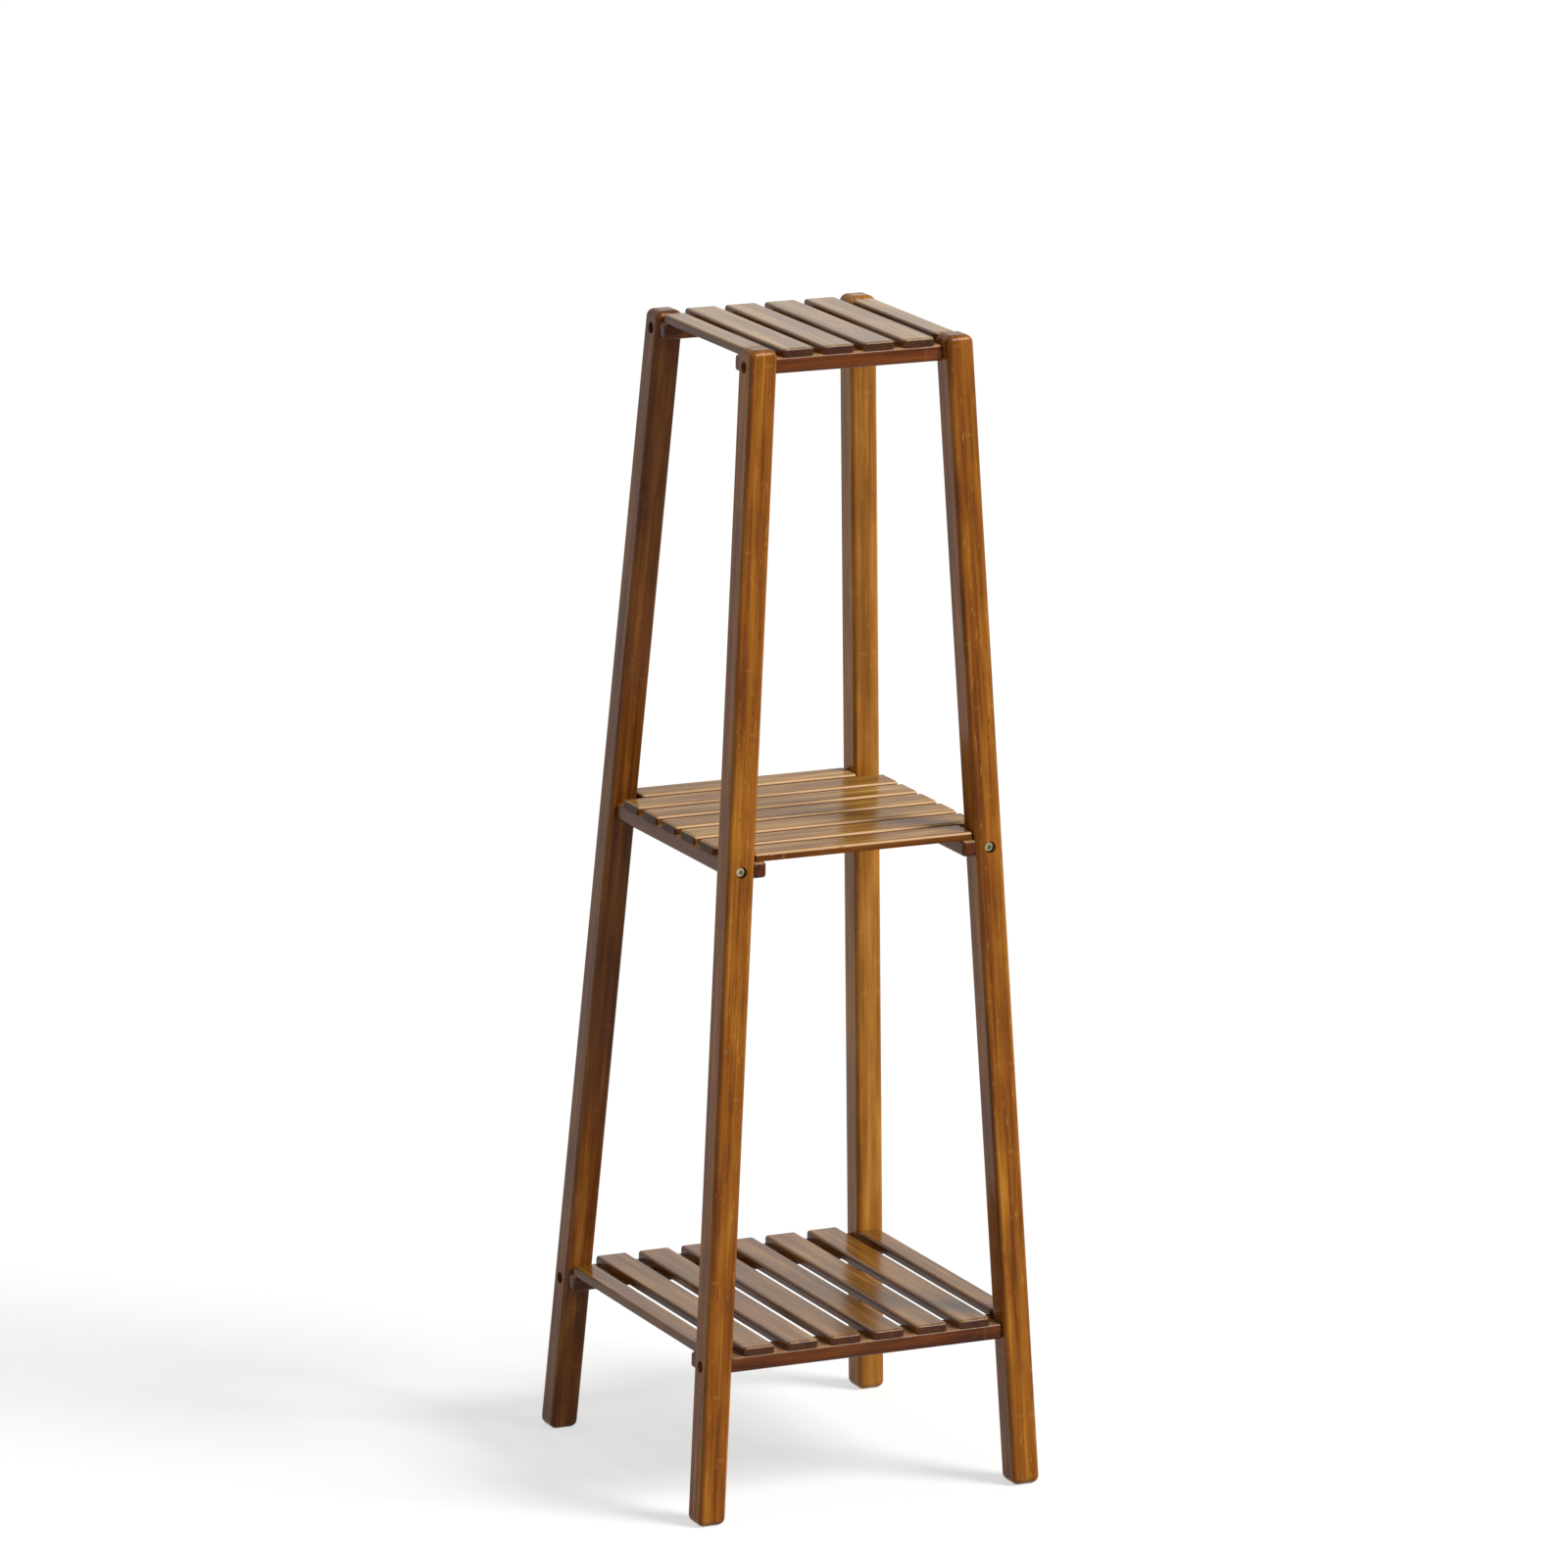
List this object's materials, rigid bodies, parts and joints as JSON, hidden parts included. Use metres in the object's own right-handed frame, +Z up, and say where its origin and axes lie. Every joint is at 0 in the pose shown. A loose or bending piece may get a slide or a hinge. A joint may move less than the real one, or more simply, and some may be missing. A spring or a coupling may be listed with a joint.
{
  "type": "plant stand",
  "caption": "Tall tapering plant stand with splayed square legs, slatted shelves on notched battens and counterbored bolts, for potted plants.",
  "frame": {"origin": "on the floor, at the middle of the four feet", "axes": "+Z up, +X to the right along the front, +Y towards the back"},
  "size_m": [0.3242, 0.3242, 1],
  "materials": {
    "leg_bamboo": "satin stain",
    "batten_bamboo": "satin stain",
    "slat_bamboo": "satin stain",
    "bolt_steel": "zinc plate",
    "insert_brass": "plain",
    "pin_steel": "plain"
  },
  "bodies": {
    "root": {"front_left_leg": "leg_bamboo", "front_right_leg": "leg_bamboo", "rear_left_leg": "leg_bamboo", "rear_right_leg": "leg_bamboo", "top_front_batten": "batten_bamboo", "top_rear_batten": "batten_bamboo", "top_slat_1": "slat_bamboo", "top_slat_2": "slat_bamboo", "top_slat_3": "slat_bamboo", "top_slat_4": "slat_bamboo", "top_slat_5": "slat_bamboo", "top_slat_6": "slat_bamboo", "top_bolts": "bolt_steel", "top_inserts": "insert_brass", "top_slat_pins": "pin_steel", "middle_left_batten": "batten_bamboo", "middle_right_batten": "batten_bamboo", "middle_slat_1": "slat_bamboo", "middle_slat_2": "slat_bamboo", "middle_slat_3": "slat_bamboo", "middle_slat_4": "slat_bamboo", "middle_slat_5": "slat_bamboo", "middle_slat_6": "slat_bamboo", "middle_slat_7": "slat_bamboo", "middle_bolts": "bolt_steel", "middle_inserts": "insert_brass", "middle_slat_pins": "pin_steel", "bottom_front_batten": "batten_bamboo", "bottom_rear_batten": "batten_bamboo", "bottom_slat_1": "slat_bamboo", "bottom_slat_2": "slat_bamboo", "bottom_slat_3": "slat_bamboo", "bottom_slat_4": "slat_bamboo", "bottom_slat_5": "slat_bamboo", "bottom_slat_6": "slat_bamboo", "bottom_slat_7": "slat_bamboo", "bottom_slat_8": "slat_bamboo", "bottom_bolts": "bolt_steel", "bottom_inserts": "insert_brass", "bottom_slat_pins": "pin_steel"}
  },
  "joints": []
}
